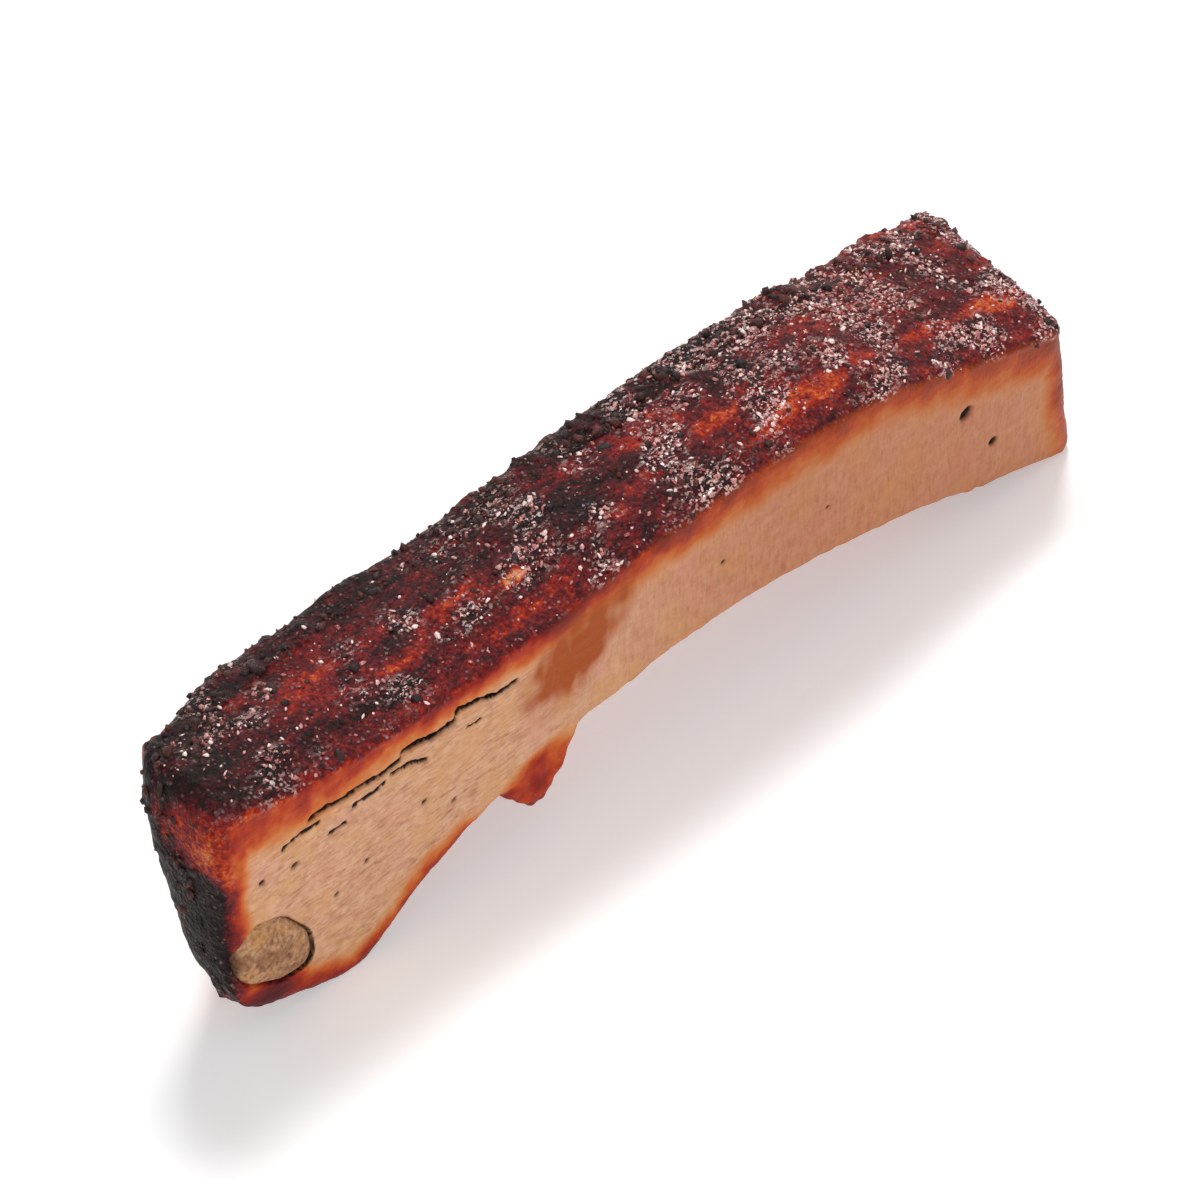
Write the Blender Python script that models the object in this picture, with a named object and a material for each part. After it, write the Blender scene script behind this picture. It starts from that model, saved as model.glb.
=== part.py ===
"""One barbecued pork sparerib, cut from its rack: a bowed bar of meat with its rib bone running through it.

Metres, +Z up. The rib lies on its underside. X runs along it, from the near end at -X, where the end of the
bone shows, to the far end at +X. The front cut face looks towards -Y. The origin is under the middle of its box.
"""
import math

import bmesh
import bpy
import numpy as np
from mathutils import noise

# ---- Driving sizes of the whole rib ----
RIB_LENGTH = 0.1835  # near end to the far back corner
NEAR_END_X = -0.0905  # before the box is centred over the origin
FRONT_CUT_Y = -0.015  # plane of the front knife cut
CUT_GAP = 0.0003  # clearance between the bone and its channel
END_SKEW = 0.009  # how much further the far end's back corner reaches than its front corner
END_LEAN = 0.0045  # how much further the far end reaches at the underside than at the bark
FAR_LEAN_START = 0.6  # share of the length where the far end begins to skew and lean
SEED_OFFSET = (3.1, 7.7, 1.9)  # picks one pattern of lumps
COARSE_LUMPS, FINE_LUMPS = 70, 190  # per metre
COARSE_SWELL, FINE_SWELL = 0.0008, 0.0005  # on the bark and the ends
COARSE_CUT_SWELL, FINE_CUT_SWELL = 0.00015, 0.0001  # on the front knife cut
CUT_SKIN = 0.0012  # a point nearer than this to the cut's plane lies on the cut

# ---- Sections along the rib, from the near end to the far end ----
# along: share of the length; top: height of the bark; foot: height of the underside's front edge;
# back: reach of the back cut face at the top; back_foot and back_rise: the same edge at the underside
SECTIONS = (
    {"along": 0.00, "top": 0.0435, "foot": 0.0066, "back": 0.0035, "back_foot": -0.0055, "back_rise": 0.0115},
    {"along": 0.06, "top": 0.0410, "foot": 0.0024, "back": 0.0075, "back_foot": 0.0005, "back_rise": 0.0050},
    {"along": 0.13, "top": 0.0390, "foot": -0.0006, "back": 0.0112, "back_foot": 0.0060, "back_rise": 0.0002},
    {"along": 0.19, "top": 0.0384, "foot": 0.0056, "back": 0.0124, "back_foot": 0.0085, "back_rise": 0.0054},
    {"along": 0.27, "top": 0.0383, "foot": 0.0116, "back": 0.0125, "back_foot": 0.0100, "back_rise": 0.0122},
    {"along": 0.49, "top": 0.0405, "foot": 0.0168, "back": 0.0120, "back_foot": 0.0112, "back_rise": 0.0176},
    {"along": 0.70, "top": 0.0384, "foot": 0.0124, "back": 0.0145, "back_foot": 0.0130, "back_rise": 0.0130},
    {"along": 0.86, "top": 0.0312, "foot": 0.0050, "back": 0.0180, "back_foot": 0.0165, "back_rise": 0.0054},
    {"along": 1.00, "top": 0.0258, "foot": -0.0012, "back": 0.0212, "back_foot": 0.0195, "back_rise": -0.0008},
)
TOP_FRONT_ROUND = 0.0028
TOP_BACK_ROUND = 0.0045
TOP_BACK_LIFT = 0.0008  # the bark stands this much higher along its back edge
BACK_SWELL = 0.0004
FOOT_ROUND = 0.0022
BACK_FOOT_ROUND = 0.0060
NEAR_CORNER_EXTRA = 0.0040  # the bark turns over more softly at the charred near end
NEAR_CORNER_REACH = 0.12  # share of the length over which that fades
BARK_CROWN = 0.0014  # how far the bark swells above a flat top
UNDER_CROWN = 0.0016
NEAR_CAP_DEPTH = 0.0060
FAR_CAP_DEPTH = 0.0100
CAP_SQUARENESS = 4.0  # 2 is a round end, more is flatter
TIP_PUSH = 0.03  # share of the cap's depth by which the middle of each end stands out

# ---- Small flap of browned fat hanging from the front edge of the underside ----
FLAP_ALONG = 0.322
FLAP_HALF_WIDTH = 0.0078
FLAP_DROP = 0.0082

# ---- Rib bone ----
BONE_FACE_TILT = math.radians(45)  # slope of the oval where the bone meets the front cut face
BONE_END_LONG = 0.0080
BONE_END_SHORT = 0.0056
BONE_HALF_WIDTH = 0.0062
BONE_HALF_HEIGHT = 0.0042
BONE_TURN_START, BONE_TURN_SPAN = 0.07, 0.13  # share of its length where the oval knob becomes a flat rod
BONE_ROUTE = (
    (-0.0852, -0.0230, 0.0132),
    (-0.0846, -0.0140, 0.0130),
    (-0.0780, -0.0060, 0.0122),
    (-0.0640, -0.0005, 0.0105),
    (-0.0440, 0.0000, 0.0180),
    (0.0000, -0.0010, 0.0248),
    (0.0400, 0.0005, 0.0196),
    (0.0700, 0.0030, 0.0122),
    (0.1020, 0.0055, 0.0070),
)

# ---- Mesh steps ----
STATIONS = 54
CAP_STATIONS = 5
SIDE_STEPS = {"front": 7, "top": 9, "back": 7, "under": 8}
CORNER_STEPS = 3
BONE_STATIONS = 44
BONE_SIDES = 16
BOARD_SIZE = 0.4


def clear_scene():
    """Removes every object of the open file."""
    for obj in list(bpy.data.objects):
        bpy.data.objects.remove(obj, do_unlink=True)


def make_material(name, color, roughness, coat=0.0):
    """Principled material with one plain colour."""
    material = bpy.data.materials.new(name)
    material.use_nodes = True
    shader = material.node_tree.nodes["Principled BSDF"]
    shader.inputs["Base Color"].default_value = (*color, 1.0)
    shader.inputs["Roughness"].default_value = roughness
    shader.inputs["Metallic"].default_value = 0.0
    shader.inputs["Coat Weight"].default_value = coat
    return material


def smooth_curve(stops, values, at):
    """Cubic through the values at the stops; each slope is the mean of its two neighbouring chords."""
    stops, values = np.asarray(stops, float), np.asarray(values, float)
    chords = np.diff(values, axis=0) / np.diff(stops).reshape((-1,) + (1,) * (values.ndim - 1))
    slopes = np.concatenate([chords[:1], (chords[:-1] + chords[1:]) / 2, chords[-1:]])
    cell = np.clip(np.searchsorted(stops, at, side="right") - 1, 0, len(stops) - 2)
    width = stops[cell + 1] - stops[cell]
    share = (at - stops[cell]) / width
    if values.ndim > 1:
        width, share = width[:, None], share[:, None]
    rise = share * share * (3 - 2 * share)
    start_bend = share * (1 - share) ** 2 * width * slopes[cell]
    end_bend = share * share * (share - 1) * width * slopes[cell + 1]
    return values[cell] * (1 - rise) + values[cell + 1] * rise + start_bend + end_bend


def size_along(name, along):
    """One named size of the sections, read at each share of the length."""
    return smooth_curve([s["along"] for s in SECTIONS], [s[name] for s in SECTIONS], along)


def flap_drop(along):
    """How far the fat flap hangs below the front edge: a cosine bump."""
    reach = np.clip(abs(along - FLAP_ALONG) * RIB_LENGTH / FLAP_HALF_WIDTH, 0, 1)
    return FLAP_DROP * (1 + np.cos(np.pi * reach)) / 2


def section_corners(along):
    """The four corners (y, z) of the section at each share of the length, and their rounding, in loop order."""
    top = size_along("top", along)
    near_share = np.clip(1 - along / NEAR_CORNER_REACH, 0, 1) ** 2
    front = np.full_like(along, FRONT_CUT_Y)
    corners = (
        (front, size_along("foot", along) - flap_drop(along)),
        (front, top),
        (size_along("back", along), top + TOP_BACK_LIFT),
        (size_along("back_foot", along), size_along("back_rise", along)),
    )
    rounds = (
        FOOT_ROUND + 0 * along,
        TOP_FRONT_ROUND + NEAR_CORNER_EXTRA * near_share,
        TOP_BACK_ROUND + 0 * along,
        BACK_FOOT_ROUND + 0 * along,
    )
    return np.stack([np.stack(c, axis=-1) for c in corners], axis=1), np.stack(rounds, axis=1)


def section_loop(along):
    """Points (y, z) round each section: straight or swelling sides joined by corners bent as quadratic curves."""
    corners, rounds = section_corners(along)
    swell = {"front": 0.0, "top": BARK_CROWN, "back": BACK_SWELL, "under": UNDER_CROWN}
    pieces = []
    for index, side in enumerate(("front", "top", "back", "under")):
        start, end = corners[:, index], corners[:, (index + 1) % 4]
        run = end - start
        length = np.linalg.norm(run, axis=1, keepdims=True)
        direction = run / length
        outward = np.stack([-direction[:, 1], direction[:, 0]], axis=1)
        first = start + direction * rounds[:, index, None]
        last = end - direction * rounds[:, (index + 1) % 4, None]
        share = (np.arange(SIDE_STEPS[side]) / SIDE_STEPS[side])[None, :, None]
        straight = first[:, None] * (1 - share) + last[:, None] * share
        pieces.append(straight + outward[:, None] * swell[side] * 4 * share * (1 - share))
        following = corners[:, (index + 2) % 4]
        leaving = (following - end) / np.linalg.norm(following - end, axis=1, keepdims=True)
        turned = end + leaving * rounds[:, (index + 1) % 4, None]
        bend = (np.arange(CORNER_STEPS) / CORNER_STEPS)[None, :, None]
        pieces.append(last[:, None] * (1 - bend) ** 2 + end[:, None] * 2 * bend * (1 - bend)
                      + turned[:, None] * bend ** 2)
    return np.concatenate(pieces, axis=1)


def length_stations():
    """(share of the length, share of the full section) of each ring; the ends close as superellipses."""
    turn = (np.arange(CAP_STATIONS) + 1) / (CAP_STATIONS + 1) * math.pi / 2
    size = np.sin(turn) ** (2 / CAP_SQUARENESS)
    depth = 1 - np.cos(turn) ** (2 / CAP_SQUARENESS)
    near, far = NEAR_CAP_DEPTH / RIB_LENGTH, FAR_CAP_DEPTH / RIB_LENGTH
    middle = np.linspace(near, 1 - far, STATIONS)
    along = np.concatenate([depth * near, middle, 1 - depth[::-1] * far])
    full = np.concatenate([size, np.ones(STATIONS), size[::-1]])
    return along, full


def lumps(point):
    """Uneven swelling of cooked meat: strong on the bark and the ends, slight on the two knife cuts."""
    on_cut = point[1] < FRONT_CUT_Y + CUT_SKIN
    coarse = noise.noise([c * COARSE_LUMPS + o for c, o in zip(point, SEED_OFFSET)])
    fine = noise.noise([c * FINE_LUMPS + o for c, o in zip(point, SEED_OFFSET)])
    coarse_swell = COARSE_CUT_SWELL if on_cut else COARSE_SWELL
    fine_swell = FINE_CUT_SWELL if on_cut else FINE_SWELL
    return coarse_swell * coarse + fine_swell * fine


def loft(name, rings, tips):
    """Closed mesh through rings of equal point counts, with a fan of triangles to each tip."""
    mesh = bpy.data.meshes.new(name)
    shape = bmesh.new()
    loops = [[shape.verts.new(point) for point in ring] for ring in rings]
    near_tip, far_tip = (shape.verts.new(point) for point in tips)
    for ring, following in zip(loops, loops[1:]):
        for step in range(len(ring)):
            after = (step + 1) % len(ring)
            shape.faces.new((ring[step], ring[after], following[after], following[step]))
    for step in range(len(loops[0])):
        after = (step + 1) % len(loops[0])
        shape.faces.new((loops[0][after], loops[0][step], near_tip))
        shape.faces.new((loops[-1][step], loops[-1][after], far_tip))
    bmesh.ops.recalc_face_normals(shape, faces=shape.faces)
    bmesh.ops.triangulate(shape, faces=shape.faces)
    for point in shape.verts:
        point.normal_update()
    shape.to_mesh(mesh)
    shape.free()
    mesh.shade_smooth()
    mesh.set_sharp_from_angle(angle=math.radians(50))
    return mesh


def add_object(name, mesh, material=None):
    """Object that shows in the model."""
    obj = bpy.data.objects.new(name, mesh)
    bpy.context.scene.collection.objects.link(obj)
    if material:
        mesh.materials.append(material)
    return obj


def add_helper(name, mesh):
    """Object that only cuts others."""
    obj = add_object(name, mesh)
    obj.hide_render = True
    obj.display_type = "WIRE"
    return obj


def add_boolean(obj, name, operation, other):
    """Live Boolean with the exact solver."""
    modifier = obj.modifiers.new(name, "BOOLEAN")
    modifier.operation = operation
    modifier.solver = "EXACT"
    modifier.object = other


def meat_mesh():
    """The whole outer body of the rib before anything is cut from it."""
    along, full = length_stations()
    loop = section_loop(along)
    middle = loop.mean(axis=1, keepdims=True)
    loop = middle + (loop - middle) * full[:, None, None]
    to_far_end = (np.clip((along - FAR_LEAN_START) / (1 - FAR_LEAN_START), 0, 1) ** 2)[:, None]
    widest = size_along("back", np.ones(1))[0]
    highest = size_along("top", np.ones(1))[0]
    x = (along * RIB_LENGTH + NEAR_END_X)[:, None]
    x = x + to_far_end * END_SKEW * (loop[:, :, 0] - widest) / (widest - FRONT_CUT_Y)
    x = x + to_far_end * END_LEAN * (highest / 2 - loop[:, :, 1]) / highest
    rings = np.concatenate([x[:, :, None], loop], axis=2)
    tips = [rings[0].mean(axis=0), rings[-1].mean(axis=0)]
    tips[0][0] -= NEAR_CAP_DEPTH * TIP_PUSH
    tips[1][0] += FAR_CAP_DEPTH * TIP_PUSH
    mesh = loft("meat", rings, tips)
    strength = [*np.repeat(full ** 10, loop.shape[1]), 0.0, 0.0]
    normals = [vertex.normal.copy() for vertex in mesh.vertices]
    for vertex, normal, share in zip(mesh.vertices, normals, strength):
        vertex.co += normal * (lumps(vertex.co) * share)
    return mesh


def bone_mesh(name, clearance):
    """Rib bone swept along its route: an oval knob in the plane of the front cut, then a flat oval rod."""
    share = np.linspace(0, 1, BONE_STATIONS)
    stops = np.concatenate([[0], np.cumsum(np.linalg.norm(np.diff(BONE_ROUTE, axis=0), axis=1))])
    centre = smooth_curve(stops / stops[-1], BONE_ROUTE, share)
    lean = np.array([-math.cos(BONE_FACE_TILT), 0.0, math.sin(BONE_FACE_TILT)])
    across = np.array([math.sin(BONE_FACE_TILT), 0.0, math.cos(BONE_FACE_TILT)])
    turned = np.clip((share - BONE_TURN_START) / BONE_TURN_SPAN, 0, 1)
    turned = (turned * turned * (3 - 2 * turned))[:, None]
    wide = lean * (BONE_END_LONG + clearance) * (1 - turned)
    wide = wide + np.array([0.0, 1.0, 0.0]) * (BONE_HALF_WIDTH + clearance) * turned
    high = across * (BONE_END_SHORT + clearance) * (1 - turned)
    high = high + np.array([0.0, 0.0, 1.0]) * (BONE_HALF_HEIGHT + clearance) * turned
    angle = np.arange(BONE_SIDES) / BONE_SIDES * 2 * math.pi
    rings = (centre[:, None] + wide[:, None] * np.cos(angle)[None, :, None]
             + high[:, None] * np.sin(angle)[None, :, None])
    return loft(name, rings, (centre[0], centre[-1]))


def board_mesh():
    """Block under the rib: what it takes off leaves the flat spots that the rib rests on."""
    mesh = bpy.data.meshes.new("board")
    shape = bmesh.new()
    bmesh.ops.create_cube(shape, size=BOARD_SIZE)
    bmesh.ops.translate(shape, verts=shape.verts, vec=(0, 0, -BOARD_SIZE / 2))
    shape.to_mesh(mesh)
    shape.free()
    return mesh


def centre_over_origin(objects, lead):
    """Moves everything level, so that the lead object's box stands with its middle over the origin."""
    bpy.context.view_layer.update()
    mesh = lead.evaluated_get(bpy.context.evaluated_depsgraph_get()).to_mesh()
    points = np.array([vertex.co for vertex in mesh.vertices])
    shift = -(points.min(axis=0) + points.max(axis=0)) / 2
    for obj in objects:
        obj.location = (shift[0], shift[1], 0.0)


clear_scene()
roast_meat = make_material("roast_meat", (0.62, 0.36, 0.23), 0.55, coat=0.2)
rib_bone_ivory = make_material("rib_bone", (0.50, 0.40, 0.30), 0.6)
body = meat_mesh()
meat = add_object("meat", body, roast_meat)
outline = add_helper("whole_outline", body.copy())
channel = add_helper("bone_channel", bone_mesh("bone_channel", CUT_GAP))
board = add_helper("board", board_mesh())
rib_bone = add_object("rib_bone", bone_mesh("rib_bone", 0.0), rib_bone_ivory)
add_boolean(rib_bone, "trim_to_meat", "INTERSECT", outline)
add_boolean(meat, "flat_rest", "DIFFERENCE", board)
add_boolean(meat, "open_channel", "DIFFERENCE", channel)
centre_over_origin((meat, outline, channel, rib_bone), meat)
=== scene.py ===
import math

import bpy
import numpy as np
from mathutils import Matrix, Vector


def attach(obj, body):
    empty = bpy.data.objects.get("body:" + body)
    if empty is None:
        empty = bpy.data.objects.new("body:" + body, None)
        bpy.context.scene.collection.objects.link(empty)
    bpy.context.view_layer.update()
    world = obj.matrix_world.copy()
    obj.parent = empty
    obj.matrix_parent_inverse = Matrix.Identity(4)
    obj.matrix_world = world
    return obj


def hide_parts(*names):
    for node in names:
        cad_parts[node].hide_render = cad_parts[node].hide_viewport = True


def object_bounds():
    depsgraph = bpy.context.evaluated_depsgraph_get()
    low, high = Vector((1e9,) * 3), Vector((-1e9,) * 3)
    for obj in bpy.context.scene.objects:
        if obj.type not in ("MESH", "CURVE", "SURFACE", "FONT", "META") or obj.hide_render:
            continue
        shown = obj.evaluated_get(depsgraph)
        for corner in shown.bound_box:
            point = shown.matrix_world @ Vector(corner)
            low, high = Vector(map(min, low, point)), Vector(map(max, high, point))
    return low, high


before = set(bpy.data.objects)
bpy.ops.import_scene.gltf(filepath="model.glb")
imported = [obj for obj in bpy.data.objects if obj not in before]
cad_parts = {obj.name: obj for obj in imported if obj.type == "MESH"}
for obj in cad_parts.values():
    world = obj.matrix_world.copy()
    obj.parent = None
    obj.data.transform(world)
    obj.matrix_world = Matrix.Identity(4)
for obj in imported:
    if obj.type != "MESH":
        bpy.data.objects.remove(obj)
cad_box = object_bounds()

# ---- The body of the rib ----
# A sparerib is a bowed bar of pork: bark on top, a knife cut on each long side, membrane underneath.
# Its whole outside is worked out once as a sheet of points wrapped round the bar, in rows from the near
# end to the far end. The pieces further down each take their own stretch of that sheet.
near_end = cad_box[0].x
front_cut = cad_box[0].y + 0.0001
rib_length = 0.1835
end_skew, end_lean = 0.009, 0.0045
near_cap, far_cap, cap_squareness = 0.006, 0.010, 4.0
section_at = (0.00, 0.06, 0.13, 0.19, 0.27, 0.49, 0.70, 0.86, 1.00)
section_sizes = {
    "top": (0.0435, 0.0410, 0.0390, 0.0384, 0.0383, 0.0405, 0.0384, 0.0312, 0.0258),
    "foot": (0.0066, 0.0024, -0.0006, 0.0056, 0.0116, 0.0168, 0.0124, 0.0050, -0.0012),
    "back": (0.0185, 0.0225, 0.0262, 0.0274, 0.0275, 0.0270, 0.0295, 0.0330, 0.0362),
    "back_foot": (0.0095, 0.0155, 0.0210, 0.0235, 0.0250, 0.0262, 0.0280, 0.0315, 0.0345),
    "back_rise": (0.0115, 0.0050, 0.0002, 0.0054, 0.0122, 0.0176, 0.0130, 0.0054, -0.0008),
}
flap_along, flap_half_width, flap_drop = 0.322, 0.0078, 0.0082
knife_edge, near_rounding, back_rounding, foot_rounding = 0.0022, 0.0045, 0.0045, 0.006
side_steps = {"front": 96, "top": 100, "back": 60, "under": 60}
corner_steps = 12
middle_rows, cap_rows = 540, 48
front_steps, top_steps, back_steps, under_steps = side_steps.values()
top_end = front_steps + corner_steps + top_steps
back_start = top_end + corner_steps
under_start = back_start + back_steps + corner_steps


def smooth_curve(stops, values, at):
    """Cubic through the values at the stops; each slope is the mean of its two neighbouring chords."""
    stops, values = np.asarray(stops, float), np.asarray(values, float)
    chords = np.diff(values) / np.diff(stops)
    slopes = np.concatenate([chords[:1], (chords[:-1] + chords[1:]) / 2, chords[-1:]])
    cell = np.clip(np.searchsorted(stops, at, side="right") - 1, 0, len(stops) - 2)
    width = stops[cell + 1] - stops[cell]
    share = (at - stops[cell]) / width
    rise = share * share * (3 - 2 * share)
    start_bend = share * (1 - share) ** 2 * width * slopes[cell]
    end_bend = share * share * (share - 1) * width * slopes[cell + 1]
    return values[cell] * (1 - rise) + values[cell + 1] * rise + start_bend + end_bend


def size_along(name, along):
    """One named size of the sections, read at each share of the rib's length."""
    return smooth_curve(section_at, section_sizes[name], along)


def fade(low, high, value):
    """0 below low, 1 above high, and a smooth step between: t * t * (3 - 2 t)."""
    share = np.clip((value - low) / (high - low), 0, 1)
    return share * share * (3 - 2 * share)


def section_loop(along):
    """Points (y, z) round each section: four slightly swollen sides, joined by corners bent as quadratics."""
    top = size_along("top", along)
    flap = np.clip(abs(along - flap_along) * rib_length / flap_half_width, 0, 1)
    hang = flap_drop * ((1 + np.cos(np.pi * flap)) / 2) ** 0.62
    near_share = np.clip(1 - along / 0.12, 0, 1) ** 2
    corners = np.stack([
        np.stack([front_cut + 0 * along, size_along("foot", along) - hang], axis=1),
        np.stack([front_cut + 0 * along, top], axis=1),
        np.stack([front_cut + size_along("back", along), top + 0.0008], axis=1),
        np.stack([front_cut + size_along("back_foot", along), size_along("back_rise", along)], axis=1),
    ], axis=1)
    rounds = np.stack([knife_edge + 0 * along, knife_edge + near_rounding * near_share,
                       back_rounding + 0 * along, foot_rounding + 0 * along], axis=1)
    swell = {"front": 0.0, "top": 0.0014, "back": 0.0004, "under": 0.0016}
    stretches = []
    for index, side in enumerate(side_steps):
        start, end = corners[:, index], corners[:, (index + 1) % 4]
        after = corners[:, (index + 2) % 4]
        direction = (end - start) / np.linalg.norm(end - start, axis=1, keepdims=True)
        leaving = (after - end) / np.linalg.norm(after - end, axis=1, keepdims=True)
        outward = np.stack([-direction[:, 1], direction[:, 0]], axis=1)[:, None]
        first = (start + direction * rounds[:, index, None])[:, None]
        last = (end - direction * rounds[:, (index + 1) % 4, None])[:, None]
        turned = (end + leaving * rounds[:, (index + 1) % 4, None])[:, None]
        share = (np.arange(side_steps[side]) / side_steps[side])[None, :, None]
        stretches.append(first * (1 - share) + last * share + outward * swell[side] * 4 * share * (1 - share))
        bend = (np.arange(corner_steps) / corner_steps)[None, :, None]
        stretches.append(last * (1 - bend) ** 2 + end[:, None] * 2 * bend * (1 - bend) + turned * bend ** 2)
    return np.concatenate(stretches, axis=1)


def cap_profile(depth, half_width):
    """Rows of an end: (share of the full section, distance from the tip), even along a superellipse's curve."""
    turn = np.linspace(0, math.pi / 2, 2000)
    share = np.sin(turn) ** (2 / cap_squareness)
    inward = depth * (1 - np.cos(turn) ** (2 / cap_squareness))
    run = np.concatenate([[0], np.cumsum(np.hypot(np.diff(share) * half_width, np.diff(inward)))])
    even = np.linspace(0, run[-1], cap_rows + 1)[1:]
    return np.interp(even, run, share), np.interp(even, run, inward)


near_share, near_inward = cap_profile(near_cap, 0.014)
far_share, far_inward = cap_profile(far_cap, 0.015)
middle = np.linspace(near_cap, rib_length - far_cap, middle_rows)[1:-1]
along = np.concatenate([near_inward, middle, rib_length - far_inward[::-1]]) / rib_length
fullness = np.concatenate([near_share, np.ones(middle_rows - 2), far_share[::-1]])
loop = section_loop(along)
heart = loop.mean(axis=1, keepdims=True)
loop = heart + (loop - heart) * fullness[:, None, None]
to_far_end = np.clip((along - 0.6) / 0.4, 0, 1) ** 2
far_reach, far_height = section_sizes["back"][-1], section_sizes["top"][-1]


def lengthwise(section):
    """Lays section points (y, z) out along X; the far end is skewed towards the back and leans out at the foot."""
    across, up = (section[..., 0] - front_cut) / far_reach, section[..., 1] / far_height
    skew = end_skew * (across - 1) + end_lean * (0.5 - up)
    x = near_end + (along * rib_length)[:, None] + to_far_end[:, None] * skew
    return np.concatenate([x[..., None], section], axis=-1)


skin = lengthwise(loop)
heart_line = lengthwise(heart)[:, 0]
tips = heart_line[[0, -1]] + [[-near_inward[0], 0, 0], [far_inward[0], 0, 0]]
rows, columns = skin.shape[:2]
column = np.arange(columns)[None, :]


def sheet_normals(sheet):
    """Unit normals of the wrapped sheet: cross product of the steps along the rib and round it."""
    lengthways = np.gradient(sheet, axis=0)
    around = np.roll(sheet, -1, axis=1) - np.roll(sheet, 1, axis=1)
    normal = np.cross(lengthways, around)
    return normal / np.maximum(np.linalg.norm(normal, axis=2, keepdims=True), 1e-12)


def lattice_key(cell, mask):
    """A fixed shuffle of the lattice: each cell's three numbers times large primes, joined bit by bit."""
    return (cell[..., 0] * 73856093 ^ cell[..., 1] * 19349663 ^ cell[..., 2] * 83492791) & mask


def unevenness(points, size, seed, stretch=(1.0, 1.0, 1.0)):
    """Smooth unevenness from -1 to 1: random slopes on a lattice of this spacing, blended by a quintic step."""
    slopes = np.random.default_rng(seed).normal(size=(256, 3))
    slopes /= np.linalg.norm(slopes, axis=1, keepdims=True)
    place = points / (size * np.asarray(stretch)) + seed * 7.31
    cell = np.floor(place).astype(np.int64)
    inside = place - cell
    ease = inside ** 3 * (inside * (inside * 6 - 15) + 10)
    total = np.zeros(points.shape[:-1])
    for corner in np.ndindex(2, 2, 2):
        at = cell + corner
        key = lattice_key(at, 255)
        weight = np.prod(np.where(np.array(corner) == 1, ease, 1 - ease), axis=-1)
        total += weight * np.sum(slopes[key] * (inside - corner), axis=-1)
    return total * 1.6


def grains(points, size, seed):
    """Nearest of the random seeds, one in each lattice cell: (distance in cells, the seed's own random number)."""
    rng = np.random.default_rng(seed)
    jitter, number = rng.random((1024, 3)), rng.random(1024)
    place = points / size
    cell = np.floor(place).astype(np.int64)
    nearest, owner = np.full(points.shape[:-1], 9.0), np.zeros(points.shape[:-1])
    for step in np.ndindex(3, 3, 3):
        at = cell + np.array(step) - 1
        key = lattice_key(at, 1023)
        distance = np.linalg.norm(at + jitter[key] - place, axis=-1)
        closer = distance < nearest
        nearest, owner = np.where(closer, distance, nearest), np.where(closer, number[key], owner)
    return nearest, owner


# ---- How far each spot is roasted ----
# The rib was smoked and glazed whole and cut afterwards: the bark is dark above and at both ends, and each
# knife cut shows a rim that fades from wine red through orange to the pale lean.
rim_width_at = (0.00, 0.06, 0.14, 0.26, 0.36, 0.50, 0.70, 0.85, 1.00)
rim_width = (0.0110, 0.0095, 0.0070, 0.0045, 0.0062, 0.0072, 0.0070, 0.0085, 0.0100)
outward = sheet_normals(skin)
from_near = (along * rib_length)[:, None] + 0 * skin[..., 0]
from_far = rib_length - from_near
below_bark = np.maximum(size_along("top", along)[:, None] - 0.0012 - skin[..., 2], 0)
above_foot = skin[..., 2] - size_along("foot", along)[:, None]
is_under = (column >= under_start) & (column < under_start + under_steps) & (fullness[:, None] > 0.9)
waver = unevenness(skin, 0.010, 3) * 0.22 + unevenness(skin, 0.0035, 4) * 0.14 + unevenness(skin, 0.0012, 5) * 0.07
rim_here = smooth_curve(rim_width_at, rim_width, along)[:, None]
top_share_of_rim = np.clip(1.02 - below_bark / rim_here, 0, 1)
from_top = 0.64 * top_share_of_rim ** 0.85 * (1 - 0.10 * fade(0.0, 0.25, top_share_of_rim))
end_front = fade(0.3, 0.9, -outward[..., 1])
from_near_end = np.clip(1.25 - 0.25 * end_front - from_near / 0.0062, 0, 1.2)
from_far_end = np.clip(0.85 - from_far / 0.0150, 0, 0.60)
lower_band = fade(0.004, 0.010, from_near) * (1 - fade(0.040, 0.052, from_near))
from_foot = (0.22 + 0.36 * lower_band) * np.clip(1.25 - above_foot / (0.0016 + 0.0036 * lower_band), 0, 1) ** 0.8
from_foot += 0.28 * np.clip(1 - above_foot / 0.0010, 0, 1)
roast = np.maximum.reduce([from_top, from_near_end, from_far_end, from_foot])
roast = np.where(roast > 0.03, roast + waver * np.clip(roast * 2.2, 0, 1) * (1.15 - 0.5 * roast), roast)
roast = np.where(is_under, 0.50 + waver * 1.2, roast)
on_bark = fade(0.75, 0.98, top_share_of_rim) * fade(0.15, 0.60, outward[..., 2])
on_bark = np.maximum(on_bark, fade(0.5, 0.9, from_near_end))

# ---- The relief of the whole surface ----
# Bark dries into wrinkles, blisters and sugar grains; a knife cut stays flat but for its fibres, tears and pits.
# The relief pushes every point of the sheet along its normal, so that the pieces still meet at their seams.
is_front = fade(0.55, 0.9, -outward[..., 1])
is_cut = np.maximum(is_front, fade(0.55, 0.9, outward[..., 1])) * (1 - fade(0.2, 0.7, from_near_end))
rough_share = 0.35 + 0.65 * fade(0.055, 0.110, from_near)
blisters, blister_number = grains(skin, 0.0023, 31)
small_grains, grain_number = grains(skin, 0.0011, 32)
blister = np.clip(1 - blisters / 0.62, 0, 1) ** 1.5 * fade(0.35, 0.8, blister_number)
small_grain = np.clip(1 - small_grains / 0.66, 0, 1) * fade(0.30, 0.75, grain_number)
wrinkle = unevenness(skin, 0.0042, 12, stretch=(3.2, 1, 1))
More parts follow.
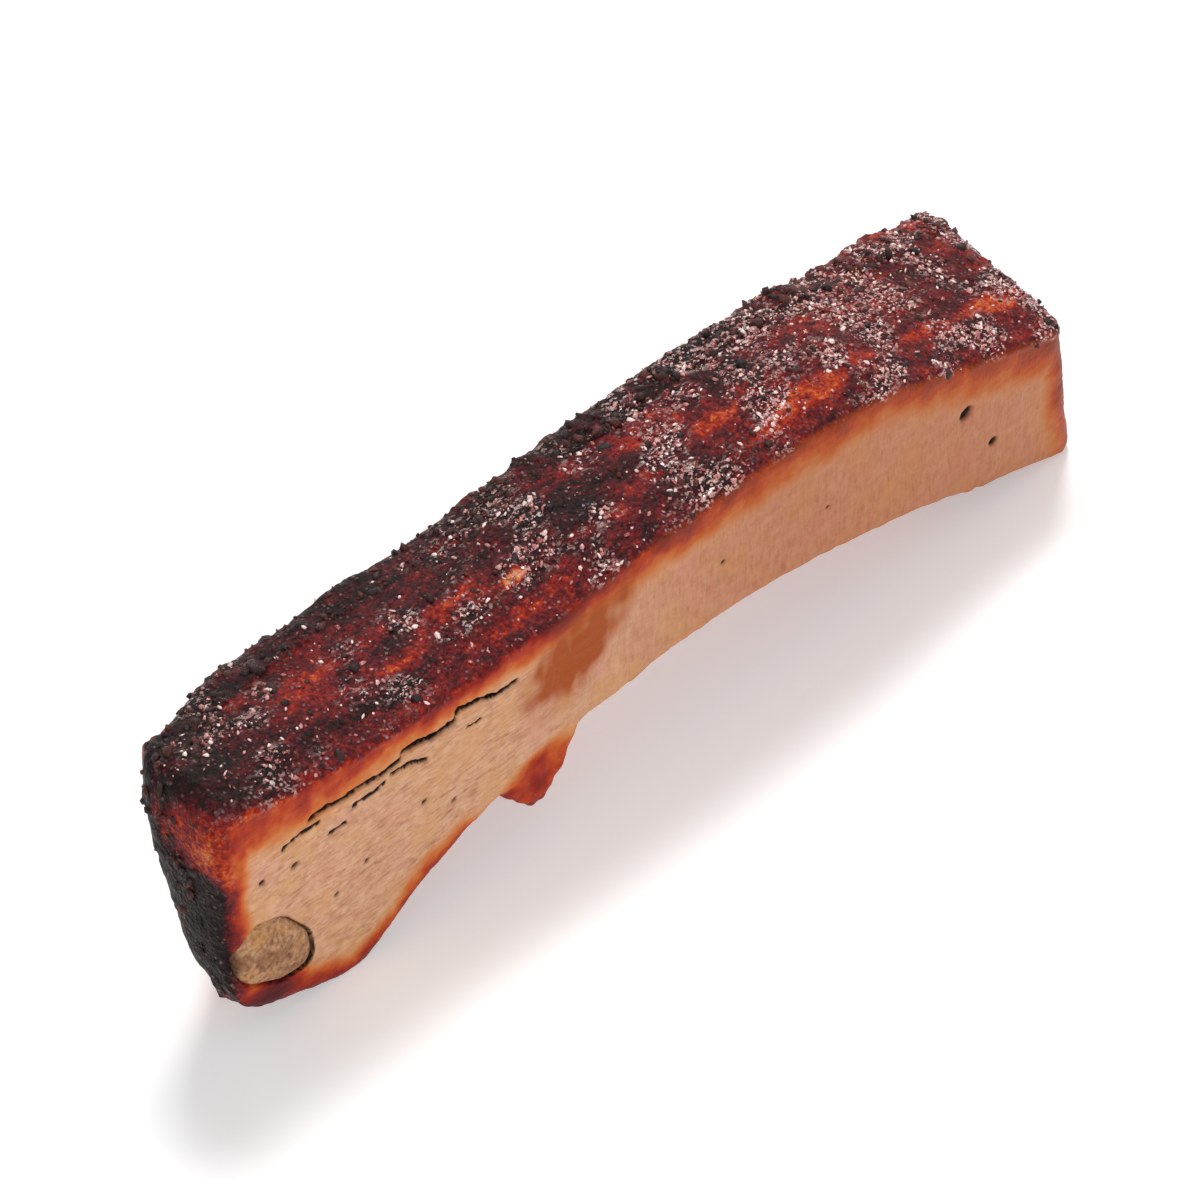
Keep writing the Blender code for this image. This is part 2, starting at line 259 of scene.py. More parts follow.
bark_relief = 0.0007 * unevenness(skin, 0.017, 11) + 0.00028 * wrinkle + 0.00018 * unevenness(skin, 0.0022, 15)
bark_relief += rough_share * (0.00035 * blister + 0.00032 * small_grain) + 0.00010 * unevenness(skin, 0.0008, 14)
back_edge = (column >= top_end - 12) & (column < back_start + 8)
char_ridge = np.clip(unevenness(skin, 0.0060, 16) + 0.25, 0, 1) * np.clip(unevenness(skin, 0.0024, 17) + 0.5, 0, 1)
cut_relief = 0.00010 * unevenness(skin, 0.0011, 21, stretch=(4, 1, 1)) + 0.00018 * unevenness(skin, 0.0052, 22)
cut_relief += 0.00006 * unevenness(skin, 0.0006, 23)


# ---- The tears and pits of the knife cuts ----
# Lean pulls apart along its grain as it cooks. The knife lays that open as thin tears, longest under the
# bark near the bone, and as small round pits. Both are dented in and darkened with painted shade.
def line_distance(points, stops):
    """Shortest distance, in the plane of the cut, to a broken line of (mm from the near end, mm up)."""
    ends = np.asarray(stops) / 1000 + [near_end, 0]
    flat = points[..., [0, 2]]
    nearest = np.full(flat.shape[:-1], 1.0)
    for start, end in zip(ends[:-1], ends[1:]):
        run = end - start
        share = np.clip(((flat - start) @ run) / (run @ run), 0, 1)
        nearest = np.minimum(nearest, np.linalg.norm(flat - start - share[..., None] * run, axis=-1))
    return nearest


tears = (
    (0.70, 0.0007, ((10.7, 31.2), (14.0, 31.9), (17.3, 31.5))),
    (0.95, 0.0012, ((15.7, 33.0), (18.6, 33.3), (21.8, 32.8), (25.6, 32.9), (29.5, 32.2), (32.5, 32.5))),
    (0.80, 0.0008, ((30.6, 31.2), (34.5, 30.6), (37.2, 29.4))),
    (1.45, 0.0018, ((33.2, 33.6), (36.0, 33.5), (38.3, 32.7), (42.6, 32.7))),
    (1.00, 0.0012, ((42.4, 32.8), (43.4, 34.3), (48.3, 33.3), (50.4, 32.4), (54.6, 32.3))),
    (0.70, 0.0006, ((19.2, 28.1), (21.9, 28.3))),
    (0.60, 0.0005, ((23.5, 30.4), (27.0, 30.3), (29.5, 30.6))),
    (0.55, 0.0005, ((45.0, 30.2), (47.6, 29.9))),
)
jitter = unevenness(skin, 0.0012, 24) * 0.00022
# How dark the painted shade is at each point, in the tears, the pits and the gap round the bone.
hollow = np.zeros((rows, columns))
is_back = fade(0.55, 0.9, outward[..., 1])
back_tears = ((0.9, 0.0011, ((52, 29.5), (58, 30.6), (66, 30.4))), (0.6, 0.0007, ((61, 26.4), (67, 27.2))),
              (0.8, 0.0009, ((118, 29.8), (124, 28.6), (131, 28.4))))
tear_half_width = 0.00050
for is_side, side_tears in ((is_front, tears), (is_back, back_tears)):
    for width, depth, stops in side_tears:
        outside = np.maximum(line_distance(skin, stops) + jitter, 0)
        gap = np.clip(1 - outside / (tear_half_width * width), 0, 1)
        cut_relief -= depth * gap ** 0.8 * is_side
        hollow = np.maximum(hollow, np.clip(gap * 2.4, 0, 1) * is_side)


def spot(points, place, half_sizes, axes=(0, 2), turn=0.0):
    """A soft spot, exp(-r^4): r is the distance over the half sizes, in the plane of two axes, turned."""
    step = points[..., list(axes)] - np.asarray(place) / 1000 - [near_end, front_cut if axes[1] == 1 else 0]
    lengthways = step[..., 0] * math.cos(turn) + step[..., 1] * math.sin(turn)
    across = step[..., 1] * math.cos(turn) - step[..., 0] * math.sin(turn)
    reach = np.hypot(lengthways / half_sizes[0], across / half_sizes[1]) * 1000
    return np.exp(-reach ** 4)


pits = ((148.7, 22.9, 1.15), (155.2, 13.7, 0.75), (6.9, 27.6, 0.5), (12.7, 26.8, 0.6), (19.9, 16.2, 0.5),
        (25.7, 18.4, 0.45), (36.7, 21.8, 0.5), (42.4, 18.1, 0.45), (118.0, 24.0, 0.35), (96.0, 27.5, 0.4))
for from_end, height, radius in pits:
    pit = spot(skin, (from_end, height), (radius * 1.25, radius)) * is_front
    cut_relief -= 0.0011 * min(radius, 1) * pit
    hollow = np.maximum(hollow, pit * (0.95 if radius > 0.7 else 0.75))

# ---- The bone's place in the front cut ----
# The cut rib bone shows as an uneven oval. The meat has shrunk back round it, so the cut dips there, and the gap
# is painted dark as shade. With the dip worked out, all the relief moves the points of the sheet together.
bone_centre, bone_halves, bone_turn = (8.1, 13.6), (7.9, 5.4), math.radians(-47)
bone_step = skin[..., [0, 2]] - np.array(bone_centre) / 1000 - [near_end, 0]
slant = math.cos(bone_turn), math.sin(bone_turn)
bone_long = (bone_step[..., 0] * slant[0] + bone_step[..., 1] * slant[1]) / bone_halves[0] * 1000
bone_wide = (bone_step[..., 1] * slant[0] - bone_step[..., 0] * slant[1]) / bone_halves[1] * 1000


def bone_outline(angle):
    """How far the bone's uneven outline stands from a plain oval: 1 plus three sines round it."""
    return 1 + 0.06 * np.sin(2 * angle + 0.6) + 0.06 * np.sin(3 * angle + 1.2) + 0.02 * np.sin(7 * angle + 1)


bone_reach = np.hypot(bone_long, bone_wide) / bone_outline(np.arctan2(bone_wide, bone_long))
before_middle = skin[..., 1] < front_cut + 0.006
in_bone = (1 - fade(0.95, 1.03, bone_reach)) * before_middle * fade(0.35, 0.75, -outward[..., 1])
relief = bark_relief * on_bark + cut_relief * is_cut * (1 - on_bark)
relief += 0.0011 * char_ridge * back_edge * fullness[:, None] ** 4
flap_reach = abs(from_near - flap_along * rib_length)
hanging = np.clip(1 - flap_reach / 0.0085, 0, 1) * np.clip(1 - above_foot / 0.003, 0, 1)
relief += hanging ** 0.5 * (0.0007 * unevenness(skin, 0.0034, 43) + 0.0002 * unevenness(skin, 0.0014, 44))
membrane_relief = 0.0005 * unevenness(skin, 0.006, 41) + 0.00025 * unevenness(skin, 0.002, 42)
relief += (1 - on_bark) * (1 - is_cut) * membrane_relief
relief = relief * np.clip(fullness[:, None] * 1.6 - 0.2, 0.25, 1) - 0.0022 * in_bone
sheet = skin + outward * relief[..., None]
sheet[..., 2] = np.maximum(sheet[..., 2], 0.0)
sheet_normal = sheet_normals(sheet)

# ---- The colour marks of the bark and of the cuts ----
# Sugar and smoke darken the bark in patches, glaze dries on it in clusters that also carry painted glints, juice
# stains the front cut, and the low edges brown. Painted light and shade mark the bark's grains and the gap round
# the bone. Each mark is one number for each point of the sheet, and the material reads them.
patches = (
    ((121, 6.5), (8.0, 2.4), -0.27), ((63, 8.8), (2.4, 1.1), -0.40), ((97, 15.5), (7.0, 2.8), -0.15),
    ((53, 11), (8.0, 2.6), -0.14), ((29, 13), (8.0, 2.6), -0.12), ((78, 12.5), (6.5, 3.4), 0.06),
    ((46, 27), (10.0, 3.0), 0.16), ((166, 9), (6.0, 3.0), -0.28), ((135, 24), (9.0, 4.0), 0.04),
    ((104, 10.5), (4.0, 1.6), -0.20), ((113, 5.0), (5.0, 1.5), -0.22), ((132, 8.0), (4.0, 1.4), -0.16),
    ((82, 7.0), (3.0, 1.4), -0.20), ((41, 8.5), (5.0, 1.2), -0.12),
    ((60, 4.0), (7.0, 1.6), -0.14), ((88, 9.0), (6.0, 1.8), -0.15), ((148, 8.0), (6.0, 2.0), -0.14),
)
bark_tone = 0.78 + 0.10 * unevenness(skin, 0.012, 51, stretch=(2.6, 1, 1))
bark_tone += 0.10 * unevenness(skin, 0.0036, 55, stretch=(5, 1, 1))
bark_tone += 0.08 * unevenness(skin, 0.0028, 52, stretch=(1.8, 1, 1)) + 0.07 * unevenness(skin, 0.0013, 53)
bark_tone += 0.16 * (1 - fade(0.004, 0.022, from_near)) + 0.12 * back_edge * (1 - fade(0.60, 0.85, along)[:, None])
# The far half is a little paler, and the tops of the small grains get painted light.
bark_tone -= 0.05 * fade(0.55, 0.80, along)[:, None] + 0.08 * small_grain * rough_share
glaze_and_glint_clusters = np.clip(unevenness(skin, 0.0075, 81) * 1.5 + 0.02 + 0.34 * fade(0.075, 0.130, from_near), 0, 1)
# Extra spots of glaze, which are also where the painted glints crowd.
cluster_spots = (
    ((146, 19.5), (11, 6), 0.5), ((107, 27), (6, 3), 0.5), ((18, 13), (3, 2), 0.9), ((23, 17), (2.5, 1.8), 0.9),
    ((15, 6), (3, 1.8), 0.9), ((36, 15), (3.5, 2), 0.5), ((52, 8), (5, 2), 0.4), ((126, 12), (8, 4), 0.3),
)
for place, half_sizes, more in cluster_spots:
    glaze_and_glint_clusters = np.clip(glaze_and_glint_clusters + more * spot(skin, place, half_sizes, axes=(0, 1)), 0, 1.2)
glaze = glaze_and_glint_clusters * on_bark * (0.55 + 0.45 * fade(0.045, 0.115, from_near))
glaze *= 0.25 + 0.75 * fade(0.004, 0.012, from_near)
patch_break = 0.6 * unevenness(skin, 0.0034, 54) + 0.5 * unevenness(skin, 0.0013, 56)
for place, half_sizes, change in patches:
    bark_tone += change * spot(skin, place, half_sizes, axes=(0, 1)) * (1 + patch_break)
# Painted shade between the grains and blisters where the glaze lies.
bark_tone += 0.16 * (glaze_and_glint_clusters * on_bark) * (1 - np.maximum(small_grain, blister))
bark_tone = np.maximum(bark_tone, 0.50 + 0.25 * patch_break * 0.3)
front_lip = np.clip(1 - (skin[..., 1] - front_cut) / 0.0030, 0, 1)
bark_tone = bark_tone * (1 - 0.5 * front_lip) + 0.68 * 0.5 * front_lip
bark_tone -= 0.22 * spot(skin, (63, 8.8), (2.0, 0.9), axes=(0, 1))
top_share = fade(0.15, 0.75, outward[..., 2]) * on_bark
roast = np.where(top_share > 0, roast * (1 - top_share) + bark_tone * top_share, roast)
end_patch = spot(skin, (3.5, 36.0), (9.5, 6.0)) * fade(0.1, 0.5, -outward[..., 1] - 0.4 * outward[..., 0])
end_patch *= 1 - fade(0.55, 0.85, outward[..., 2])
end_tone = 0.47 + 0.12 * unevenness(skin, 0.0040, 57) + 0.10 * unevenness(skin, 0.0014, 58)
roast = np.where(roast > end_tone, roast + (end_tone - roast) * end_patch, roast)
stain = 1.0 * spot(skin, (63.8, 29.0), (8.2, 6.6), turn=0.5) + 0.9 * spot(skin, (70.0, 32.0), (10.5, 4.8), turn=0.4)
stain = (stain + 0.5 * spot(skin, (63.8, 26.3), (2.2, 1.5))) * is_front * (1 + 0.8 * unevenness(skin, 0.0035, 61))
stain = np.clip(stain, 0, 1.3) * (0.72 + 0.4 * np.clip(unevenness(skin, 0.0016, 62, stretch=(1, 1, 4)) + 0.6, 0, 1))
stain = np.maximum(stain, 0.50 * fade(0.30, 0.62, along)[:, None] * is_cut)
flap_zone = np.clip(1 - abs(from_near - 0.0585) / 0.0100, 0, 1) * np.clip(1 - above_foot / 0.0035, 0, 1)
roast = np.maximum(roast, flap_zone ** 0.6 * (0.62 + 0.8 * waver))
below_bone = spot(skin, (5.5, 5.0), (9.5, 5.0)) * before_middle
roast = np.maximum(roast, below_bone * (0.74 + 0.5 * waver))
# Painted shade in the gap round the bone, stronger on one side of it.
bone_gap_shade = np.clip(1 - abs(bone_reach - 1.01) / 0.06, 0, 1) * before_middle
hollow = np.maximum(hollow, 0.85 * bone_gap_shade * fade(-0.3, 0.6, bone_long * 0.8 + bone_wide * 0.1))

# ---- The bark ----
# The top of the rib: pork fat and lean that was rubbed with sugar and spice, then glazed and smoked until it
# dried to a dark red-brown crust. The piece runs a little past both corners, and down to the heart of the rib.
numbers = {"glaze": glaze, "roast": roast, "bark": on_bark, "stain": stain, "hollow": hollow}
bark_first, bark_last, foot_seam = front_steps - 8, back_start + 12, 6


def smooth_piece(name, points, faces, marks):
    """A smooth-shaded piece of points and faces that rides on the rib; its points carry the marks."""
    mesh = bpy.data.meshes.new(name)
    mesh.from_pydata(points, [], faces)
    for label, value in marks.items():
        mesh.attributes.new(label, "FLOAT", "POINT").data.foreach_set("value", value.astype(np.float32))
    mesh.polygons.foreach_set("use_smooth", np.ones(len(mesh.polygons), bool))
    piece = bpy.data.objects.new(name, mesh)
    bpy.context.scene.collection.objects.link(piece)
    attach(piece, "root")
    return piece


def wedge(name, first, last):
    """A closed piece: the sheet's columns first to last, walls from them to the heart line, and two tips."""
    picked = np.arange(first, last + 1) % columns
    count = len(picked)
    points = np.concatenate([sheet[:, picked].reshape(-1, 3), heart_line, tips])
    at = np.arange(rows * count).reshape(rows, count)
    heart_at = rows * count + np.arange(rows)
    near_tip, far_tip = rows * count + rows, rows * count + rows + 1
    skin_quads = np.stack([at[:-1, :-1], at[1:, :-1], at[1:, 1:], at[:-1, 1:]], axis=-1).reshape(-1, 4)
    first_wall = np.stack([at[:-1, 0], heart_at[:-1], heart_at[1:], at[1:, 0]], axis=-1)
    last_wall = np.stack([at[:-1, -1], at[1:, -1], heart_at[1:], heart_at[:-1]], axis=-1)
    quads = np.concatenate([skin_quads, first_wall, last_wall])
    near_fan = np.stack([np.full(count - 1, near_tip), at[0, :-1], at[0, 1:]], axis=-1)
    far_fan = np.stack([np.full(count - 1, far_tip), at[-1, 1:], at[-1, :-1]], axis=-1)
    corners = np.array([[near_tip, heart_at[0], at[0, 0]], [near_tip, at[0, -1], heart_at[0]],
                        [far_tip, at[-1, 0], heart_at[-1]], [far_tip, heart_at[-1], at[-1, -1]]])
    faces = quads.tolist() + near_fan.tolist() + far_fan.tolist() + corners.tolist()
    hidden = np.zeros(rows + 2)
    marks = {label: np.concatenate([value[:, picked].ravel(), hidden]) for label, value in numbers.items()}
    piece = smooth_piece(name, points, faces, marks)
    ends = np.array([[-1.0, 0, 0], [1.0, 0, 0]])
    normals = np.concatenate([sheet_normal[:, picked].reshape(-1, 3), np.zeros((rows, 3)), ends])
    piece.data.normals_split_custom_set_from_vertices(normals)
    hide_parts("meat")
    return piece


class Value:
    """A socket: arithmetic with it adds Math nodes to its material, as in 1 - value or value * other."""

    def __init__(self, socket):
        self.socket = socket

    def node(self, kind, settings=None, inputs=None, output=0):
        """Adds a node of this kind, sets its settings, then its sockets, and wraps one of its outputs."""
        tree = self.socket.id_data
        made = tree.nodes.new(kind)
        for setting, value in (settings or {}).items():
            if setting == "stops":
                for _ in value[2:]:
                    made.color_ramp.elements.new(0.5)
                for element, (position, colour) in zip(made.color_ramp.elements, value):
                    element.position = position
                    element.color = colour
            else:
                setattr(made, setting, value)
        for name, value in (inputs or {}).items():
            if isinstance(value, Value):
                tree.links.new(value.socket, made.inputs[name])
            else:
                made.inputs[name].default_value = value
        return Value(made.outputs[output])

    def maths(self, operation, first, second, clamp=False):
        return self.node("ShaderNodeMath", {"operation": operation, "use_clamp": clamp}, {0: first, 1: second})

    def __add__(self, other):
        return self.maths("ADD", self, other)

    def __sub__(self, other):
        return self.maths("SUBTRACT", self, other)

    def __rsub__(self, other):
        return self.maths("SUBTRACT", other, self)

    def __mul__(self, other):
        return self.maths("MULTIPLY", self, other)

    __radd__, __rmul__ = __add__, __mul__

    def between(self, low, high):
        """0 below low, 1 above high, with a smooth step from one to the other."""
        return self.node("ShaderNodeMapRange", {"interpolation_type": "SMOOTHSTEP"},
                         {"Value": self, "From Min": low, "From Max": high})

    def stretched(self, scales):
        """This vector with each of its three numbers multiplied."""
        return self.node("ShaderNodeVectorMath", {"operation": "MULTIPLY"}, {0: self, 1: scales})

    def noise(self, scale, detail=3.0, roughness=0.55, distortion=0.0):
        """Fractal noise from 0 to 1 at this vector, at so many cells a metre."""
        return self.node("ShaderNodeTexNoise", {"noise_dimensions": "3D"},
                         {"Vector": self, "Scale": scale, "Detail": detail, "Roughness": roughness,
                          "Distortion": distortion})

    def mixed(self, colour, share):
        """This colour with so much of another mixed in."""
        return self.node("ShaderNodeMix", {"data_type": "RGBA", "clamp_factor": True},
                         {0: share, 6: self, 7: colour}, 2)

    def ramp(self, stops):
        """The colour that a ramp of (position, colour) stops has at this value."""
        return self.node("ShaderNodeValToRGB", {"stops": stops}, {"Fac": self})

    def cells(self, scale):
        """Distance from this vector to the nearest of the random seeds, at so many seeds a metre."""
        return self.node("ShaderNodeTexVoronoi", {"feature": "F1"}, {"Vector": self, "Scale": scale})

    def bump(self, strength, distance):
        """The normal of a surface that has this value as its height."""
        return self.node("ShaderNodeBump", {}, {"Height": self, "Strength": strength, "Distance": distance})

    def mark(self, name):
        """The number of this name that the points of the piece carry."""
        return self.node("ShaderNodeAttribute", {"attribute_name": name}, output="Fac")


def shade(red, green, blue):
    """A colour given as screen values from 0 to 255, turned into the linear light that the shader takes."""
    screen = np.array([red, green, blue]) / 255
    linear = np.where(screen > 0.04045, ((screen + 0.055) / 1.055) ** 2.4, screen / 12.92)
    return (*linear.tolist(), 1.0)


def new_material(name):
    """A node material: (the material, its Principled shader, the Object coordinates of the piece)."""
    material = bpy.data.materials.new(name)
    material.use_nodes = True
    shader = material.node_tree.nodes["Principled BSDF"]
    place = Value(material.node_tree.nodes.new("ShaderNodeTexCoord").outputs["Object"])
    return material, shader, place


def connect(shader, name, value):
    """Links a value to one socket of the shader."""
    shader.id_data.links.new(value.socket, shader.inputs[name])


roasted_pork, pork_shader, place = new_material("roasted_pork")
carried = {name: place.mark(name) for name in numbers}
bark = carried["bark"]
lean = 1 - bark
medium = place.stretched((0.6, 1, 1)).noise(420, 3)
fine = place.noise(1500, 3, 0.6)
lying = place.stretched((0.20, 1.0, 1.0)).noise(2100, 3, 0.62)
standing = place.stretched((1.0, 1.0, 0.18)).noise(1700, 3, 0.62)
position = place.node("ShaderNodeSeparateXYZ", {}, {"Vector": place}, "X")
far_half = position.between(near_end + 0.050, near_end + 0.085)
fibres = lying + (standing - lying) * far_half
clouds = place.noise(130, 3)
tone = carried["roast"] + (medium - 0.5) * (bark * 0.46 + 0.05) + (fine - 0.5) * (bark * 0.72 + 0.05)
tone = tone + (clouds - 0.5) * 0.10
roast_ramp = (
    (0.00, shade(200, 148, 114)), (0.14, shade(205, 148, 106)), (0.26, shade(200, 126, 72)),
    (0.36, shade(194, 98, 42)), (0.46, shade(176, 62, 25)), (0.56, shade(146, 36, 21)),
    (0.66, shade(112, 28, 26)), (0.76, shade(84, 21, 25)), (0.87, shade(52, 17, 19)), (1.00, shade(26, 14, 13)),
)
colour = tone.ramp(roast_ramp)
pale = 1 - carried["roast"].between(0.05, 0.35)
strand = fibres.between(0.40, 0.66)
colour = colour.mixed(shade(219, 178, 146), strand * pale * (0.45 - far_half * 0.20))
colour = colour.mixed(shade(166, 110, 84), (1 - fibres.between(0.34, 0.52)) * pale * (0.45 - far_half * 0.22))
mottle = place.noise(560, 4, 0.72)
colour = colour.mixed(shade(148, 94, 68), (1 - mottle.between(0.38, 0.52)) * pale * 0.24)
colour = colour.mixed(shade(226, 184, 154), mottle.between(0.52, 0.66) * pale * 0.26)
colour = colour.mixed(shade(126, 74, 52), (1 - fibres.between(0.27, 0.37)) * pale * (0.60 - far_half * 0.25))
colour = colour.mixed(shade(204, 142, 126), clouds.between(0.52, 0.68) * pale * 0.35)
colour = colour.mixed(shade(206, 154, 100), (1 - clouds.between(0.38, 0.50)) * pale * 0.40)
colour = colour.mixed(shade(158, 72, 22), carried["stain"] * 0.92)
# Painted shade: near black in the tears, the pits and the gap round the bone.
colour = colour.mixed(shade(26, 13, 10), carried["hollow"].between(0.10, 0.75))
# Painted glints: pale pink and near-white dots and film in the base colour of the glazed bark, where the coat also
# shines.
sparkle_place = place.cells(1300.0)
sparkle_colour = Value(sparkle_place.socket.node.outputs["Color"])
sparkle_pick = place.node("ShaderNodeSeparateColor", {}, {"Color": sparkle_colour})
film_glint = place.stretched((0.62, 1, 1)).noise(1150, 4, 0.74, 0.5).between(0.545, 0.590) * carried["glaze"]
glint_paint_and_coat = (1 - sparkle_place.between(0.20, 0.42)) * sparkle_pick.between(0.60, 0.70)
glint_paint_and_coat = glint_paint_and_coat * bark * (carried["glaze"] + 0.12)
glint_paint_and_coat = glint_paint_and_coat.maths("MAXIMUM", glint_paint_and_coat, film_glint)
# The painted glints: pink, then near white at their brightest.
colour = colour.mixed(shade(212, 164, 156), glint_paint_and_coat * 0.90)
colour = colour.mixed(shade(240, 218, 212), glint_paint_and_coat * fine.between(0.50, 0.62) * 0.7)
connect(pork_shader, "Base Color", colour)
connect(pork_shader, "Roughness", 0.50 - glint_paint_and_coat * 0.15 + (fine - 0.5) * 0.25 + carried["hollow"] * 0.2)
connect(pork_shader, "Coat Weight", glint_paint_and_coat * 0.9 + lean * 0.05)
pork_shader.inputs["Coat Roughness"].default_value = 0.16
pork_shader.inputs["Specular IOR Level"].default_value = 0.10
bumps = fine * (bark * 0.9 + 0.18) + medium * bark * 0.7 + (1 - sparkle_place.between(0.1, 0.6)) * bark * 0.5
bumps = bumps + fibres * lean * 0.45
connect(pork_shader, "Normal", bumps.bump(0.75, 0.00045))

glazed_bark = wedge("glazed_bark", bark_first, bark_last)
glazed_bark.data.materials.append(roasted_pork)

# ---- The front knife cut ----
# Pale cooked lean that the knife laid open after roasting, with its tears, pits and brown stain, and the lobe
# that hangs from its foot. It meets the bark just below the upper corner and the underside past the foot.
front_cut_piece = wedge("front_cut", -foot_seam, bark_first)
front_cut_piece.data.materials.append(roasted_pork)

# ---- The back knife cut and the underside ----
# The second knife cut, with a few tears of its own, and below it the browned membrane that lined the rib cage.
# One closed piece of the same meat, from the bark down the back and under the rib to the front cut.
underside_and_back = wedge("underside_and_back", bark_last, columns - foot_seam)
underside_and_back.data.materials.append(roasted_pork)


# ---- The bone ends ----
# The rib bone shows in the front cut near one end and in the end face at the other: grey-brown and porous,
# sawn or cut through. Round the one in the front cut, painted shade draws a dark line in the meat. Each end is a
# closed plug set into the meat.
def sheet_level(points, out):
    """How far the sheet reaches along out at each point: the mean of its nearest points, weighted by exp(-d^2)."""
    out = np.asarray(out, float)
    facing = (outward @ out > 0.3)
    near = facing & (np.linalg.norm(skin - points.mean(axis=0), axis=-1) < 0.016)
    known = skin[near]
    flat_known, flat = known - (known @ out)[:, None] * out, points - (points @ out)[:, None] * out
    gap = np.linalg.norm(flat[:, None] - flat_known[None], axis=-1) / 0.0006
    weight = np.exp(-np.minimum(gap ** 2, 60)) + 1e-20
    return (weight @ (known @ out)) / weight.sum(axis=1)


def bone_plug(name, centre, long_axis, wide_axis, out, proud):
    """A closed plug: rings r = 0..1 over the face, dipping at the edge, a wall, and a flat back 3 mm deeper."""
    centre, long_axis, wide_axis, out = (np.asarray(v, float) for v in (centre, long_axis, wide_axis, out))
    rings, sides = 30, 96
    reach = np.concatenate([np.linspace(0.02, 1, rings), [1.0, 0.99, 0.6, 0.02]])
    deeper = np.concatenate([0.0005 * np.linspace(0.02, 1, rings) ** 12, [0.0018, 0.003, 0.003, 0.003]])
    angle = np.linspace(0, 2 * math.pi, sides, endpoint=False)
    wobble = bone_outline(angle)
    ring = (np.cos(angle) * wobble)[:, None] * long_axis + (np.sin(angle) * wobble)[:, None] * wide_axis
    points = centre + reach[:, None, None] * ring[None]
    flat = points.reshape(-1, 3)
    level = sheet_level(flat, out).reshape(points.shape[:2])
    lumps = 0.0002 * unevenness(points, 0.003, 71) + 0.00012 * unevenness(points, 0.001, 72)
    wanted = level - deeper[:, None] + (proud + lumps) * (1 - reach[:, None] ** 6)
    points += (wanted - points @ out)[..., None] * out
    count = len(reach)
    at = np.arange(count * sides).reshape(count, sides)
    turned = np.roll(at, -1, axis=1)
    quads = np.stack([at[:-1], at[1:], turned[1:], turned[:-1]], axis=-1).reshape(-1, 4)
    poles = np.stack([points[0].mean(axis=0), points[-1].mean(axis=0)])
    front_pole, back_pole = count * sides, count * sides + 1
    front_fan = np.stack([np.full(sides, front_pole), at[0], turned[0]], axis=-1)
    back_fan = np.stack([np.full(sides, back_pole), turned[-1], at[-1]], axis=-1)
    faces = quads.tolist() + front_fan.tolist() + back_fan.tolist()
    rim = np.concatenate([np.repeat(reach, sides), [0, 1]])
    piece = smooth_piece(name, np.concatenate([points.reshape(-1, 3), poles]), faces, {"rim": rim})
    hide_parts("rib_bone")
    return piece


near_centre, near_halves, near_proud = (near_end + 0.0081, front_cut, 0.0136), (0.0076, 0.0052), 0.00015
far_centre, far_halves, far_proud = (cad_box[1].x, front_cut + 0.0215, 0.0085), (0.0062, 0.0044), 0.0002
near_long = near_halves[0] * slant[0], 0, near_halves[0] * slant[1]
near_wide = -near_halves[1] * slant[1], 0, near_halves[1] * slant[0]
bone_near_end = bone_plug("bone_near_end", near_centre, near_long, near_wide, (0, -1, 0), near_proud)
bone_far_end = bone_plug("bone_far_end", far_centre, (0, far_halves[0], 0), (0, 0, far_halves[1]),
                         (1, 0, 0), far_proud)
bone_finish, bone_shader, place = new_material("cut_bone")
rim = place.mark("rim")
pores = place.cells(1300.0)
grime = place.noise(260, 3)
grit = place.noise(1400, 3, 0.6)
bone_ramp = ((0.30, shade(124, 82, 54)), (0.48, shade(166, 120, 86)), (0.66, shade(194, 150, 114)))
bone_colour = grit.ramp(bone_ramp)
bone_colour = bone_colour.mixed(shade(120, 74, 44), grime.between(0.48, 0.62) * 0.6)
bone_colour = bone_colour.mixed(shade(186, 132, 66), (1 - grime.between(0.36, 0.46)) * 0.5)
bone_colour = bone_colour.mixed(shade(112, 74, 50), (1 - pores.between(0.10, 0.26)) * 0.45)
bone_colour = bone_colour.mixed(shade(196, 150, 114), rim.between(0.80, 0.93) * 0.2)
position = place.node("ShaderNodeSeparateXYZ", {}, {"Vector": place}, "X")
scorched = 1 - position.between(near_end + 0.0008, near_end + 0.0036)
bone_colour = bone_colour.mixed(shade(74, 42, 27), (scorched + (grime - 0.5) * 0.6).between(0.2, 0.9) * 0.85)
bone_shader.inputs["Specular IOR Level"].default_value = 0.2
connect(bone_shader, "Base Color", bone_colour)
connect(bone_shader, "Roughness", 0.58 + (grit - 0.5) * 0.2)
bone_bump = grit + pores.between(0.1, 0.5) * 0.8
connect(bone_shader, "Normal", bone_bump.bump(0.7, 0.0004))
for piece in (bone_near_end, bone_far_end):
    piece.data.materials.append(bone_finish)

# ---- The sugar grains and charred crumbs on the bark ----
# The dry rub and the glaze leave hard shiny grains, crowded on the far half, their palest tints painted glints;
# burnt crumbs sit along the back edge.
golden = (1 + math.sqrt(5)) / 2
pebble_points = np.array([(-1, golden, 0), (1, golden, 0), (-1, -golden, 0), (1, -golden, 0), (0, -1, golden),
                          (0, 1, golden), (0, -1, -golden), (0, 1, -golden), (golden, 0, -1), (golden, 0, 1),
                          (-golden, 0, -1), (-golden, 0, 1)]) / math.hypot(1, golden)
pebble_faces = np.array([
    (0, 11, 5), (0, 5, 1), (0, 1, 7), (0, 7, 10), (0, 10, 11), (1, 5, 9), (5, 11, 4), (11, 10, 2), (10, 7, 6),
    (7, 1, 8), (3, 9, 4), (3, 4, 2), (3, 2, 6), (3, 6, 8), (3, 8, 9), (4, 9, 5), (2, 4, 11), (6, 2, 10),
    (8, 6, 7), (9, 8, 1),
])


